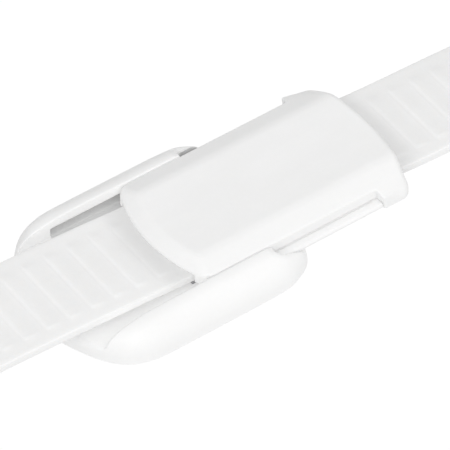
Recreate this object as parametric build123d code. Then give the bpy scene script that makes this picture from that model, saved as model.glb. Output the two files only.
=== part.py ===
from build123d import *
import os
from math import sqrt

os.makedirs("parts", exist_ok=True)

# Antistatic wrist strap with a slide clasp, in millimetres.
# Origin at the centre of the clasp base's underside, +X along the band (the slider
# draws out towards +X), +Y across the band, +Z up. "Left" is -X and "right" is +X.
# The slider is shown drawn out to its open stop.
# Names ending in _HW are half widths in Y.

SIDES = (-1, 1)
FIT = 0.02               # clearance around rivets, screws and contact strips
CLEAR = 0.04             # clearance in the base recess and the cam pocket

# band
BAND_W = 16.0
BAND_T = 1.45            # thickness between the ribs
BAND_Z = 3.65            # underside inside the clasp
BAND_SPLIT = 16.0        # the two band ends meet here, inside the slider
SPLIT_GAP = 0.6
LEFT_END = -94.0         # eyelet end
RIGHT_END = 94.0         # stud end
END_ROUND = 6.0          # length of each free end that is cut to a disc
RIB_PITCH = 3.63
RIB_H = 0.28             # height over the band face
RIB_W = 1.0
RIB_L = 12.0             # length across the band
TOOTH_GROOVE_D = 0.50    # locking grooves in the band underside
TOOTH_GROOVE_W = 1.1
TOOTH_GROOVE_HW = 3.6

# clasp base
BASE_HL = 18.6           # half length
BASE_HW = 14.75          # at the widest level
BASE_WIDE_Z = 1.5        # level of the widest point, and radius of the lower side edge
RIDGE_Z = 6.05           # top of the side ridges
CHANNEL_HW = 10.6        # between the side ridges
FLOOR_Z = 2.8            # channel floor
GROOVE_HW = 12.05        # rail grooves
GROOVE_Z0, GROOVE_Z1 = 3.05, 4.42
GROOVE_X0 = -9.2         # closed end of the rail grooves
NOTCH_X0 = 12.9          # right end notches that take the slider's ears
NOTCH_HW = 12.25

# skin contact plate
SKIN_L, SKIN_W, SKIN_T = 27.0, 17.0, 0.8
SKIN_CORNER_R = 2.5

# slider
TRAVEL = 17.5            # open to closed
COVER_HW = 10.42         # side faces of the cover
COVER_TOP = 7.0
CREASE_Z = 6.0           # bottom of the side bevel
TOP_HW = 7.55            # flat top
PASSAGE_HW = 8.45        # band passage
PASSAGE_TOP = 6.25
LIP_TOP = 5.55           # ceiling of the passage at the two end lips
COVER_X0 = -0.5          # left edge at the centre line
COVER_X1 = 37.05         # right edge at the centre line
EDGE_R = 23.5            # plan radius of the convex left edge
EDGE_Z = 5.8             # level of that edge
END_SLOPE = 0.545        # rise of the bevel behind it
COLLAR_X0 = 30.5
COLLAR_HW = 12.0
COLLAR_Z0 = 3.05
PLATE_X0, PLATE_X1 = 2.6, 30.4
PLATE_HW = 10.3
PLATE_Z0, PLATE_Z1 = 2.95, 3.58
RAIL_X0 = 8.7
RAIL_HW = 11.8
RAIL_Z0, RAIL_Z1 = 3.3, 4.2

# cover screws, heads sunk in the slide plate
SCREW_X = (6.2, 27.5)
SCREW_Y = 9.45
SCREW_R = 0.6
SCREW_HEAD_R = 0.98
SCREW_HEAD_Z = PLATE_Z0 + 0.33
SCREW_TOP = 5.8

# lock bar, cam strip and the plate window they work in
BAR_X0, BAR_X1 = 6.7, 25.3
BAR_HW = 6.2
BAR_Z0, BAR_T = 2.88, 0.30
BAR_TAB_T = 0.14
BAR_LIFT = 0.42          # rise between open and closed
TOOTH_HW = 3.4
LEFT_TOOTH_X, RIGHT_TOOTH_X = 7.4, 24.6
WINDOW_X0, WINDOW_X1 = 5.2, 26.8
FOLLOW_X = 16.0          # where the bar rests on the cam strip when open
CAM_HW = 1.4
CAM_X0, CAM_X1 = FOLLOW_X - TRAVEL - 1.0, FOLLOW_X + 1.2

# detent springs in the base floor
DETENT_X = 7.5           # middle of the pockets, right enough to stay under the slider
DETENT_Y = 6.6
DETENT_RIVET_DX = -5.2   # rivet from the pocket's middle

# rivets through the skin plate and the base floor: x, y, shank radius, head radius
RIVET_HEAD_TOP = 0.34
CAM_RIVETS = [(x, 0, 0.6, 1.1) for x in (1.0, 11.5)]
DETENT_RIVETS = [(DETENT_X + DETENT_RIVET_DX, side * DETENT_Y, 0.5, 1.0) for side in SIDES]
CAM_TAIL_R, CAM_TAIL_T, CAM_RIVET_TOP = 1.0, 0.25, 2.62

# lock return leaves: x0, x1, y0, y1
RETURN_LEAF_Z, RETURN_LEAF_T = 3.08, 0.1
RETURN_LEAVES = [
    (3.4, WINDOW_X0 + 1.1, -2.9, -1.7),
    (3.4, WINDOW_X0 + 1.1, 1.7, 2.9),
    (WINDOW_X1 - 1.1, 28.8, -1.1, 1.1),
]

# contact strips let into the band underside
STRIP_Y0, STRIP_Y1, STRIP_T = 4.4, 6.0, 0.15
STRIP_Y = (STRIP_Y0 + STRIP_Y1) / 2
LEFT_STRIP_X = (-91.0, 14.6)
RIGHT_STRIP_X = (17.4, 90.5)
LEFT_RIVET_X = (-74.0, -1.2)
RIGHT_RIVET_X = (31.4, 76.0)
PAD_X1 = -77.5           # right edge of the cross pad

# closure
STUD_R = 2.0             # 4 mm snap stud
STUD_X = 86.0
STUD_SHANK_R = 1.2
EYELET_X = (-81.0, -88.3)
EYELET_R = 2.15
EYELET_WALL = 0.3
EYELET_HOLE_R = EYELET_R + EYELET_WALL + 0.04


# ---------------------------------------------------------------------------
# Helpers
# ---------------------------------------------------------------------------
def box(x0, x1, y0, y1, z0, z1):
    centre = Pos((x0 + x1) / 2, (y0 + y1) / 2, (z0 + z1) / 2)
    return centre * Box(x1 - x0, y1 - y0, z1 - z0)


def slab(x0, x1, half_width, z0, z1):
    """box centred on the XZ plane"""
    return box(x0, x1, -half_width, half_width, z0, z1)


def cyl(x, y, z0, z1, radius):
    return Pos(x, y, (z0 + z1) / 2) * Cylinder(radius, z1 - z0)


def prism_xy(face, z0, z1):
    return Pos(0, 0, z0) * extrude(face, z1 - z0)


def prism_xz(face, half_width):
    return extrude(Plane.XZ * face, half_width, both=True)


def prism_yz(face, x0, x1):
    return Pos(x0, 0, 0) * extrude(Plane.YZ * face, x1 - x0)


def face_of(*curves):
    return make_face(Curve() + list(curves))


def polygon(*points):
    return face_of(Polyline(*points, close=True))


def flip_first(points):
    """the points mirrored in their first coordinate, in reverse order"""
    return [(-u, v) for u, v in reversed(points)]


def flip_second(points):
    """the points mirrored in their second coordinate, in reverse order"""
    return [(u, -v) for u, v in reversed(points)]


def rivet(x, y, shank_r, head_r, top, tail_r, tail_t):
    """rivet with its head at the clasp's underside and its tail at the top"""
    return (cyl(x, y, FIT, top, shank_r) + cyl(x, y, FIT, RIVET_HEAD_TOP, head_r)
            + cyl(x, y, top - tail_t, top, tail_r))


def save(name, *pieces):
    solids = [solid for piece in pieces for solid in piece.solids()]
    part = Compound(children=solids) if len(solids) > 1 else solids[0]
    part.label = name
    export_step(part, f"parts/{name}.step")


# ---------------------------------------------------------------------------
# Clasp base
# ---------------------------------------------------------------------------
# plan, +Y side from right to left: x, y; every second point is the middle of an arc
BASE_PLAN = [
    (18.35, 8.5), (17.15, 12.5), (12.8, BASE_HW - 0.2), (3.0, BASE_HW),
    (-6.8, BASE_HW - 0.05), (-13.6, 12.4), (-17.75, 4.9),
]
# ridge line in long section, right to left: x, z
RIGHT_DROP = [
    (BASE_HL, 2.6), (17.9, 3.75), (16.0, 4.35), (14.2, 5.0), (12.6, 5.95), (11.8, RIDGE_Z),
]
LEFT_DROP = [
    (-5.0, RIDGE_Z), (-7.9, 5.95), (-11.8, 5.3), (-14.4, 4.3), (-15.9, 3.0), (-17.3, 2.45),
    (-BASE_HL, 1.3),
]
END_ROUNDING = 1.2       # length of the rounded lower end edges


def base_plan():
    lower = flip_second(BASE_PLAN)
    chain = [lower[-1], (BASE_HL, 0), *BASE_PLAN, (-BASE_HL, 0), *lower]
    return face_of(*(ThreePointArc(*chain[i:i + 3]) for i in range(0, len(chain) - 1, 2)))


def base_cross_section():
    """flat underside, rounded lower edges, pillow sides up to the ridges"""
    reach = BASE_HW - CHANNEL_HW
    rise = RIDGE_Z - BASE_WIDE_Z
    radius = BASE_WIDE_Z
    diagonal = sqrt(0.5)
    # quarter ellipse as fractions of reach and rise
    quarter = [(1, 0), (0.924, 0.383), (diagonal, diagonal), (0.383, 0.924), (0, 1)]
    pillow = [(CHANNEL_HW + reach * u, BASE_WIDE_Z + rise * v) for u, v in quarter]
    foot = BASE_HW - radius
    lower_edge = [
        (foot, 0),
        (foot + radius * diagonal, BASE_WIDE_Z - radius * diagonal),
        (BASE_HW, BASE_WIDE_Z),
    ]
    return face_of(
        Line((-foot, 0), (foot, 0)),
        ThreePointArc(*lower_edge),
        Spline(pillow, tangents=[(0, 1), (-1, 0)]),
        Line((CHANNEL_HW, RIDGE_Z), (-CHANNEL_HW, RIDGE_Z)),
        Spline(flip_first(pillow), tangents=[(-1, 0), (0, -1)]),
        ThreePointArc(*flip_first(lower_edge)),
    )


def base_long_section():
    """the ridges run down to the floor at the left end and drop at the right end"""
    foot = BASE_HL - END_ROUNDING
    return face_of(
        Line((-foot, 0), (foot, 0)),
        ThreePointArc((foot, 0), (BASE_HL - 0.35, 0.35), (BASE_HL, END_ROUNDING)),
        Line((BASE_HL, END_ROUNDING), RIGHT_DROP[0]),
        Spline(RIGHT_DROP, tangents=[(0, 1), (-1, 0)]),
        Line(RIGHT_DROP[-1], LEFT_DROP[0]),
        Spline(LEFT_DROP, tangents=[(-1, 0), (-0.2, -1)]),
        ThreePointArc(LEFT_DROP[-1], (-BASE_HL + 0.35, 0.38), (-foot, 0)),
    )


def base_housing():
    """pillow-shaped tray with an open channel between two grooved side ridges"""
    end = BASE_HL + 1    # past the end of the base
    base = prism_xy(base_plan(), 0, RIDGE_Z)
    base = base & prism_yz(base_cross_section(), -end, end)
    base = base & prism_xz(base_long_section(), BASE_HW + 1)
    # channel, rail grooves and end notches
    base = base - slab(-end, end, CHANNEL_HW, FLOOR_Z, 12)
    base = base - slab(GROOVE_X0, end, GROOVE_HW, GROOVE_Z0, GROOVE_Z1)
    base = base - slab(NOTCH_X0, end, NOTCH_HW, FLOOR_Z, 12)
    # underside recess for the skin contact plate
    half_l = SKIN_L / 2 + CLEAR
    recess = slab(-half_l, half_l, SKIN_W / 2 + CLEAR, -1, SKIN_T + CLEAR)
    base = base - fillet(recess.edges().filter_by(Axis.Z), SKIN_CORNER_R + CLEAR)
    # pockets for the cam strip and the two detent leaves
    base = base - slab(CAM_X0 - CLEAR, CAM_X1 + CLEAR, CAM_HW + CLEAR, 1.6, 5)
    for side in SIDES:
        y = side * DETENT_Y
        base = base - box(DETENT_X - 6.0, DETENT_X + 6.0, y - 1.05, y + 1.05, 1.9, 5)
    for x, y, shank_r, _ in CAM_RIVETS + DETENT_RIVETS:
        base = base - cyl(x, y, 0, 2.0, shank_r + FIT)
    return base


def skin_contact_plate():
    """plate let into the base's underside, with sunk rivet heads"""
    skin = slab(-SKIN_L / 2, SKIN_L / 2, SKIN_W / 2, 0, SKIN_T)
    skin = fillet(skin.edges().filter_by(Axis.Z), SKIN_CORNER_R)
    for x, y, shank_r, head_r in CAM_RIVETS + DETENT_RIVETS:
        skin = skin - cyl(x, y, -1, 2, shank_r + FIT)
        skin = skin - cyl(x, y, -1, RIVET_HEAD_TOP + FIT, head_r + FIT)
    return skin


def lock_cam_strip():
    """strip that rises towards -X, so the lock bar lifts as the slider closes"""
    bottom = 1.64
    low = BAR_Z0 - 0.04
    high = low + BAR_LIFT
    cam = prism_xz(polygon(
        (CAM_X0, bottom), (CAM_X1, bottom), (CAM_X1, low - 0.03), (FOLLOW_X, low),
        (FOLLOW_X - TRAVEL, high), (CAM_X0, high - 0.05),
    ), CAM_HW)
    tail_z = CAM_RIVET_TOP - CAM_TAIL_T - FIT
    for x, y, shank_r, _ in CAM_RIVETS:
        cam = cam - cyl(x, y, 1, 5, shank_r + FIT) - cyl(x, y, tail_z, 5, CAM_TAIL_R + FIT)
    return cam


# upper face of a detent leaf: x from the middle of its pocket, z
DETENT_TOP = [
    (-5.9, 2.05), (-4.2, 2.05), (-2.0, 2.3), (2.4, 2.82), (3.4, 2.86), (4.4, 2.80), (5.7, 2.35),
]
DETENT_T = 0.13
DETENT_LEAF_HW = 0.9


def detent_springs():
    """bowed leaves in the floor pockets, their crowns just under the slide plate"""
    bottom = [(x, z - DETENT_T) for x, z in reversed(DETENT_TOP)]
    leaves = []
    for x, y, shank_r, _ in DETENT_RIVETS:
        leaf = Pos(DETENT_X, y, 0) * prism_xz(polygon(*DETENT_TOP, *bottom), DETENT_LEAF_HW)
        leaves.append(leaf - cyl(x, y, 1, 3, shank_r + FIT))
    return leaves


# ---------------------------------------------------------------------------
# Slider
# ---------------------------------------------------------------------------
# bevelled roof edge, +Y side going up: y, z
ROOF_EDGE = [(COVER_HW, CREASE_Z), (TOP_HW + 0.45, COVER_TOP - 0.19), (TOP_HW - 0.45, COVER_TOP)]


def cover_plan():
    """convex left edge with rounded corners, straight sides, convex right end"""
    corner_y = 8.6
    corner_x = COVER_X0 + corner_y**2 / (2 * EDGE_R)
    outside = 14         # beyond the collar, so the collar keeps its own side faces
    upper = [
        (corner_x, corner_y), (corner_x + 0.75, 10.0), (corner_x + 2.2, COVER_HW + 0.02),
        (corner_x + 2.2, outside), (33.7, outside),
        (33.7, COLLAR_HW), (34.78, 11.6), (COVER_X1 - 1.75, 10.6),
    ]
    lower = flip_second(upper)

    def side_curves(points):
        lines = [Line(a, b) for a, b in zip(points[2:5], points[3:6])]
        return [ThreePointArc(*points[:3]), *lines, ThreePointArc(*points[5:])]

    return face_of(
        ThreePointArc(lower[-1], (COVER_X0, 0), upper[0]),
        *side_curves(upper),
        ThreePointArc(upper[-1], (COVER_X1, 0), lower[0]),
        *side_curves(lower),
    )


def slider_cover():
    """shell cover with a wider collar at its right end"""
    shell_side = [(COVER_HW, RAIL_Z1), *ROOF_EDGE]
    collar_side = [
        (COLLAR_HW, COLLAR_Z0), (COLLAR_HW, 5.2), (COLLAR_HW - 0.35, 5.58), *ROOF_EDGE,
    ]
    shell = prism_yz(polygon(*shell_side, *flip_first(shell_side)), COVER_X0 - 2, COVER_X1 + 2)
    collar = prism_yz(polygon(*collar_side, *flip_first(collar_side)), COLLAR_X0, COVER_X1 + 2)
    cover = shell + collar
    cover = cover & prism_xy(cover_plan(), 0, 12)
    # bevelled left end: a cone concentric with the convex edge
    inner_r, outer_r = 20.5, 27.0
    above_cone = polygon(
        (inner_r, EDGE_Z + END_SLOPE * (EDGE_R - inner_r)),
        (outer_r, EDGE_Z + END_SLOPE * (EDGE_R - outer_r)),
        (outer_r, 12), (inner_r, 12),
    )
    cover = cover - Pos(COVER_X0 + EDGE_R, 0, 0) * revolve(Plane.XZ * above_cone, Axis.Z)
    # band passage, higher between the end lips, and the space left of the collar
    cover = cover - slab(COVER_X0 - 3, COVER_X1 + 3, PASSAGE_HW, 0, LIP_TOP)
    cover = cover - slab(3.0, 32.5, PASSAGE_HW - 0.3, 0, PASSAGE_TOP)
    cover = cover - slab(-3, COLLAR_X0, 14, 0, RAIL_Z1)
    for x in SCREW_X:
        for side in SIDES:
            cover = cover - cyl(x, side * SCREW_Y, 3, SCREW_TOP + 0.05, SCREW_R + FIT)
    return cover


def slide_plate():
    """plate with side rails, a window for the lock bar and pockets for its springs"""
    plate = slab(PLATE_X0, PLATE_X1, PLATE_HW, PLATE_Z0, PLATE_Z1)
    for side in SIDES:
        wall_y = sorted((side * 8.5, side * PLATE_HW))
        plate = plate + box(PLATE_X0, PLATE_X1, *wall_y, PLATE_Z0, RAIL_Z1)
        rail_y = sorted((side * 10.2, side * RAIL_HW))
        plate = plate + box(RAIL_X0, PLATE_X1, *rail_y, RAIL_Z0, RAIL_Z1)
    plate = plate - slab(BAR_X0 - 0.06, BAR_X1 + 0.06, BAR_HW + 0.06, 0, 5)
    plate = plate - slab(WINDOW_X0, WINDOW_X1, CAM_HW + 0.35, 0, 5)
    # channel over the cam strip, open to the left end
    plate = plate - slab(-1, WINDOW_X0 + 0.1, CAM_HW + 0.12, 0, 5)
    # underside relief right of the window, where only the strip's low end passes
    plate = plate - slab(WINDOW_X1 - 0.1, PLATE_X1 + 1, CAM_HW + 0.12, 0, 3.2)
    for x in SCREW_X:
        for side in SIDES:
            y = side * SCREW_Y
            plate = plate - cyl(x, y, 2, 5, SCREW_R + FIT)
            plate = plate - cyl(x, y, 2, SCREW_HEAD_Z + FIT, SCREW_HEAD_R + 2 * FIT)
    # room for the bar's left tabs, then for the return leaves
    plate = plate - slab(WINDOW_X0, BAR_X0 + 0.1, 3.2, 0, 5)
    gap = 0.03
    leaf_top = RETURN_LEAF_Z + RETURN_LEAF_T + FIT
    for x0, x1, y0, y1 in RETURN_LEAVES:
        plate = plate - box(x0 - gap, x1 + gap, y0 - gap, y1 + gap, 2.0, leaf_top)
    return plate


def cover_screws():
    screws = []
    bottom = PLATE_Z0 + FIT
    for x in SCREW_X:
        for side in SIDES:
            y = side * SCREW_Y
            shank = cyl(x, y, bottom, SCREW_TOP, SCREW_R)
            screws.append(shank + cyl(x, y, bottom, SCREW_HEAD_Z, SCREW_HEAD_R))
    return screws


# underside of a hold-down leaf: x, z
HOLD_DOWN_BOTTOM = [
    (9.0, 6.04), (11.0, 6.04), (14.0, 5.4), (17.5, 5.14), (21.0, 5.4), (24.0, 6.04), (26.0, 6.04),
]
HOLD_DOWN_T = 0.14


def hold_down_spring():
    """two leaves under the cover's ceiling, bowed down over the band margins and
    joined by a cross strip at each end"""
    leaf_y, leaf_hw = 7.1, 0.6
    z = HOLD_DOWN_BOTTOM[0][1]
    top = [(x, z + HOLD_DOWN_T) for x, z in reversed(HOLD_DOWN_BOTTOM)]
    leaf_face = polygon(*HOLD_DOWN_BOTTOM, *top)
    leaves = [Pos(0, side * leaf_y, 0) * prism_xz(leaf_face, leaf_hw) for side in SIDES]
    bridge = (slab(9.0, 10.9, leaf_y + leaf_hw, z, z + HOLD_DOWN_T)
              + slab(24.1, 26.0, leaf_y + leaf_hw, z, z + HOLD_DOWN_T))
    return leaves[0] + leaves[1] + bridge


def lock_bar():
    """flat bar with a split tooth for the left band and a full one for the right;
    its left half is forked to straddle the cam strip"""
    bar = slab(BAR_X0, BAR_X1, BAR_HW, BAR_Z0, BAR_Z0 + BAR_T)
    foot_z, tip_z = BAR_Z0 + 0.1, BAND_Z - 0.05
    for x in (LEFT_TOOTH_X, RIGHT_TOOTH_X):
        tooth = polygon((x - 0.42, foot_z), (x + 0.42, foot_z), (x + 0.28, tip_z), (x - 0.28, tip_z))
        bar = bar + prism_xz(tooth, TOOTH_HW)
    # thin end tabs under the return leaves
    bar = bar + slab(WINDOW_X0 + 0.3, BAR_X0 + 0.2, 3.0, BAR_Z0, BAR_Z0 + BAR_TAB_T)
    bar = bar + slab(BAR_X1 - 0.2, WINDOW_X1 - 0.3, 1.2, BAR_Z0, BAR_Z0 + BAR_TAB_T)
    return bar - slab(0, FOLLOW_X - 0.8, CAM_HW + 0.15, 0, 6)


def lock_return_springs():
    return [box(*leaf, RETURN_LEAF_Z, RETURN_LEAF_Z + RETURN_LEAF_T) for leaf in RETURN_LEAVES]


# ---------------------------------------------------------------------------
# Bands
# ---------------------------------------------------------------------------
# run of the band underside: x, z; it is level beyond the first and last points
LEFT_RUN = [
    (-71.0, 0.9), (-62.0, 1.9), (-52, 3.6), (-40, 5.1), (-31, 5.45), (-24.5, 5.25),
    (-14.5, 4.70), (-5.0, 4.1), (-1.5, 3.8), (2.2, BAND_Z),
]
RIGHT_RUN = [
    (30.6, BAND_Z), (33.5, 3.42), (36.5, 3.10), (41.0, 2.72), (48.5, 2.37), (58.0, 1.9),
    (68.0, 1.4), (76.0, 1.05), (82.0, 0.9),
]
LEFT_RIBS = [-2.4 + RIB_PITCH * i for i in range(-17, 5)]
RIGHT_RIBS = [37.6 + RIB_PITCH * i for i in range(-5, 11)]
LOCK_GROOVES = 3         # per band half, one rib pitch apart


def ribbon(x0, run, x1, below, above):
    """XZ face from `below` under the run to `above` over it, and its upper spline"""
    low0, low1 = run[0][1] - below, run[-1][1] - below
    high0, high1 = run[0][1] + above, run[-1][1] + above
    lower = Spline([(x, z - below) for x, z in run], tangents=[(1, 0), (1, 0)])
    upper = Spline([(x, z + above) for x, z in reversed(run)], tangents=[(-1, 0), (-1, 0)])
    face = face_of(
        Line((x0, low0), lower @ 0), lower, Line(lower @ 1, (x1, low1)),
        Line((x1, low1), (x1, high1)),
        Line((x1, high1), upper @ 0), upper, Line(upper @ 1, (x0, high0)),
        Line((x0, high0), (x0, low0)),
    )
    return face, upper


def sample(curve, steps=900):
    """points (x, z) along the curve, from left to right"""
    return sorted((p.X, p.Y) for p in (curve @ (i / steps) for i in range(steps + 1)))


def top_z(top, x):
    """level of the band's upper face at x, from its samples"""
    if x <= top[0][0]:
        return top[0][1]
    for (xa, za), (xb, zb) in zip(top, top[1:]):
        if x <= xb:
            return za + (zb - za) * (x - xa) / (xb - xa)
    return top[-1][1]


def rib(top, x, lead):
    """low ratchet rib, its crest shifted towards +X for lead 1 and -X for lead -1"""
    crest_x, crest_z = x + 0.22 * lead, top_z(top, x) + RIB_H
    return prism_xz(polygon(
        (x - RIB_W * 0.62, top_z(top, x - RIB_W) - 0.1),
        (x + RIB_W * 0.62, top_z(top, x + RIB_W) - 0.1),
        (crest_x + 0.16, crest_z), (crest_x - 0.16, crest_z),
    ), RIB_L / 2)


def strip_pair(strip_x, run, gap=0, below=0):
    """the two contact strips; with a gap, the cutters for their recesses"""
    face, _ = ribbon(strip_x[0] - gap, run, strip_x[1] + gap, below, STRIP_T + gap)
    half_width = (STRIP_Y1 - STRIP_Y0) / 2 + gap
    return [Pos(0, side * STRIP_Y, 0) * prism_xz(face, half_width) for side in SIDES]


def strip_rivets(rivet_x, top):
    rivets = []
    for x in rivet_x:
        z = top_z(top, x) - BAND_T
        rivets += [cyl(x, side * STRIP_Y, z, z + 1.0, 0.4) for side in SIDES]
    return rivets


def drill_strip_rivets(shape, rivet_x, top):
    for side in SIDES:
        for x in rivet_x:
            z = top_z(top, x) - BAND_T
            shape = shape - cyl(x, side * STRIP_Y, z - 1.0, z + 1.03, 0.43)
    return shape


def band_half(face, top, run, end_body, disc_x, ribs, lead, groove_x, strip_x, rivet_x):
    """one band half: end_body is the block kept besides the disc of its free end"""
    band = prism_xz(face, BAND_W / 2)
    band = band & (end_body + prism_xy(Pos(disc_x, 0) * Circle(BAND_W / 2), -5, 20))
    for x in ribs:
        band = band + rib(top, x, lead)
    for i in range(LOCK_GROOVES):
        x = groove_x + lead * RIB_PITCH * i
        band = band - slab(x - TOOTH_GROOVE_W / 2, x + TOOTH_GROOVE_W / 2, TOOTH_GROOVE_HW,
                           3.0, BAND_Z + TOOTH_GROOVE_D)
    for cutter in strip_pair(strip_x, run, gap=FIT, below=0.3):
        band = band - cutter
    return drill_strip_rivets(band, rivet_x, top)


left_face, left_curve = ribbon(LEFT_END, LEFT_RUN, BAND_SPLIT - SPLIT_GAP / 2, 0, BAND_T)
right_face, right_curve = ribbon(BAND_SPLIT + SPLIT_GAP / 2, RIGHT_RUN, RIGHT_END, 0, BAND_T)
LEFT_TOP, RIGHT_TOP = sample(left_curve), sample(right_curve)
LEFT_DISC_X, RIGHT_DISC_X = LEFT_END + BAND_W / 2, RIGHT_END - BAND_W / 2
PAD_Z = LEFT_RUN[0][1]
STUD_TOP_Z = top_z(RIGHT_TOP, STUD_X)    # band faces at the stud
STUD_BOTTOM_Z = STUD_TOP_Z - BAND_T


def left_band():
    band = band_half(left_face, LEFT_TOP, LEFT_RUN, slab(LEFT_END + END_ROUND, 40, 20, -5, 20),
                     LEFT_DISC_X, LEFT_RIBS, 1, LEFT_TOOTH_X, LEFT_STRIP_X, LEFT_RIVET_X)
    # recess for the cross pad, then the eyelet holes
    band = band - slab(LEFT_STRIP_X[0] - FIT, PAD_X1 + FIT, STRIP_Y1 + FIT,
                       0, PAD_Z + STRIP_T + FIT)
    for x in EYELET_X:
        z = top_z(LEFT_TOP, x)
        band = band - cyl(x, 0, z - BAND_T - 1, z + 1, EYELET_HOLE_R)
    return band


def right_band():
    band = band_half(right_face, RIGHT_TOP, RIGHT_RUN, slab(-5, RIGHT_END - END_ROUND, 20, -5, 20),
                     RIGHT_DISC_X, RIGHT_RIBS, -1, RIGHT_TOOTH_X, RIGHT_STRIP_X, RIGHT_RIVET_X)
    return band - cyl(STUD_X, 0, STUD_BOTTOM_Z - 1, STUD_TOP_Z + 1, STUD_SHANK_R + 0.05)


def left_contact_strips():
    """two strips joined by a cross pad under the eyelets"""
    strips = [drill_strip_rivets(strip, LEFT_RIVET_X, LEFT_TOP)
              for strip in strip_pair(LEFT_STRIP_X, LEFT_RUN)]
    pad = slab(LEFT_STRIP_X[0], PAD_X1, STRIP_Y1, PAD_Z, PAD_Z + STRIP_T)
    end_disc = prism_xy(Pos(LEFT_DISC_X, 0) * Circle(7.2), 0, 3)
    pad = pad & (end_disc + (pad & slab(LEFT_DISC_X, PAD_X1, 7, 0, 3)))
    joined = pad + strips[0] + strips[1]
    for x in EYELET_X:
        joined = joined - cyl(x, 0, 0, 3, EYELET_HOLE_R)
    return joined


def right_contact_strips():
    return [drill_strip_rivets(strip, RIGHT_RIVET_X, RIGHT_TOP)
            for strip in strip_pair(RIGHT_STRIP_X, RIGHT_RUN)]


# ---------------------------------------------------------------------------
# Closure
# ---------------------------------------------------------------------------
def closure_eyelet(x):
    """barrel through the left band with a flange on each face"""
    top = top_z(LEFT_TOP, x)
    bottom = top - BAND_T
    flange_r = EYELET_R + 1.1
    eyelet = cyl(x, 0, bottom - 0.22, top + 0.25, EYELET_R + EYELET_WALL)
    eyelet = eyelet + cyl(x, 0, top + 0.02, top + 0.25, flange_r)
    eyelet = eyelet + cyl(x, 0, bottom - 0.22, bottom - 0.02, flange_r)
    return eyelet - cyl(x, 0, bottom - 1, top + 1, EYELET_R)


def snap_stud():
    """flange, neck and head over the band, shank through it"""
    top = STUD_TOP_Z
    stud = cyl(STUD_X, 0, top + 0.32, top + 0.75, 3.2)
    stud = stud + cyl(STUD_X, 0, top + 0.7, top + 2.0, 1.7)
    stud = stud + cyl(STUD_X, 0, top + 1.9, top + 3.9, STUD_R)
    stud = stud + cyl(STUD_X, 0, STUD_BOTTOM_Z - 0.3, top + 0.4, STUD_SHANK_R)
    return fillet(stud.edges().group_by(Axis.Z)[-1], 0.5)


def stud_washer():
    top = STUD_TOP_Z
    return (cyl(STUD_X, 0, top + 0.02, top + 0.3, 4.0)
            - cyl(STUD_X, 0, top - 1, top + 1, STUD_SHANK_R + 0.04))


def skin_contact_disc():
    """disc under the right band end, with a blind hole for the stud's shank"""
    bottom = STUD_BOTTOM_Z
    disc = (cyl(STUD_X, 0, bottom - 0.62, bottom - 0.02, 6.2)
            - cyl(STUD_X, 0, bottom - 0.32, bottom + 1, STUD_SHANK_R + 0.04))
    return fillet(disc.edges().group_by(Axis.Z)[0], 0.3)


save("base_housing", base_housing())
save("skin_contact_plate", skin_contact_plate())
save("lock_cam_strip", lock_cam_strip())
save("cam_rivets", *(rivet(*spec, top=CAM_RIVET_TOP, tail_r=CAM_TAIL_R, tail_t=CAM_TAIL_T)
                     for spec in CAM_RIVETS))
save("detent_springs", *detent_springs())
save("detent_rivets", *(rivet(*spec, top=2.3, tail_r=0.72, tail_t=0.23)
                        for spec in DETENT_RIVETS))
save("slider_cover", slider_cover())
save("cover_screws", *cover_screws())
save("hold_down_spring", hold_down_spring())
save("lock_bar", lock_bar())
save("lock_return_springs", *lock_return_springs())
save("slide_plate", slide_plate())
save("left_band", left_band())
save("right_band", right_band())
save("left_contact_strips", left_contact_strips())
save("right_contact_strips", *right_contact_strips())
save("left_strip_rivets", *strip_rivets(LEFT_RIVET_X, LEFT_TOP))
save("right_strip_rivets", *strip_rivets(RIGHT_RIVET_X, RIGHT_TOP))
save("closure_eyelets", *(closure_eyelet(x) for x in EYELET_X))
save("snap_stud", snap_stud())
save("stud_washer", stud_washer())
save("skin_contact_disc", skin_contact_disc())
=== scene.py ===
"""A strap with a sliding clasp, laid out along x.

The clasp tray stands at the origin with the slider on top of it. The left band runs to -x and
the right band to +x. y runs across the strap, with the camera on its -y side, and z points up.
Sizes are in millimetres and MM turns them into metres. Stage places are in metres.
"""
import bpy
import bmesh
import math
import numpy as np
from mathutils import Vector, Matrix


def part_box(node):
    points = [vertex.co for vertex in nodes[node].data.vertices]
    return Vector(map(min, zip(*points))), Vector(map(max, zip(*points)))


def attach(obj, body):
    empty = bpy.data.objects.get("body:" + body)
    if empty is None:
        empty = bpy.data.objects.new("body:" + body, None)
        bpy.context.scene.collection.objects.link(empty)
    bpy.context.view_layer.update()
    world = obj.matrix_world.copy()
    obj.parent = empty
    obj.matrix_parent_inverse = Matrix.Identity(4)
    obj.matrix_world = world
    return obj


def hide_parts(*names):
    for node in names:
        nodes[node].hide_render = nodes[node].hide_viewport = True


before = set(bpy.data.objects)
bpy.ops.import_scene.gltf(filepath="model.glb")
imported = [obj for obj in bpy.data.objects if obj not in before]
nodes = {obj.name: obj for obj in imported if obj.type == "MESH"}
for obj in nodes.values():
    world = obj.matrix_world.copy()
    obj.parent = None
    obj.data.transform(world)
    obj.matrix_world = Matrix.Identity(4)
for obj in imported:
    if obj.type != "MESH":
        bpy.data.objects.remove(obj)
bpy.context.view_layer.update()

MM = 0.001
FAR = math.inf                  # an open side in a range
GRID_STEP = 0.13

# The slider's two ends in plan: x on the centre line, and the bow in x per y squared
SLIDER_LEFT, LEFT_BOW = -0.5, 0.0215
SLIDER_RIGHT, RIGHT_BOW = 37.05, -0.0150


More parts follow.
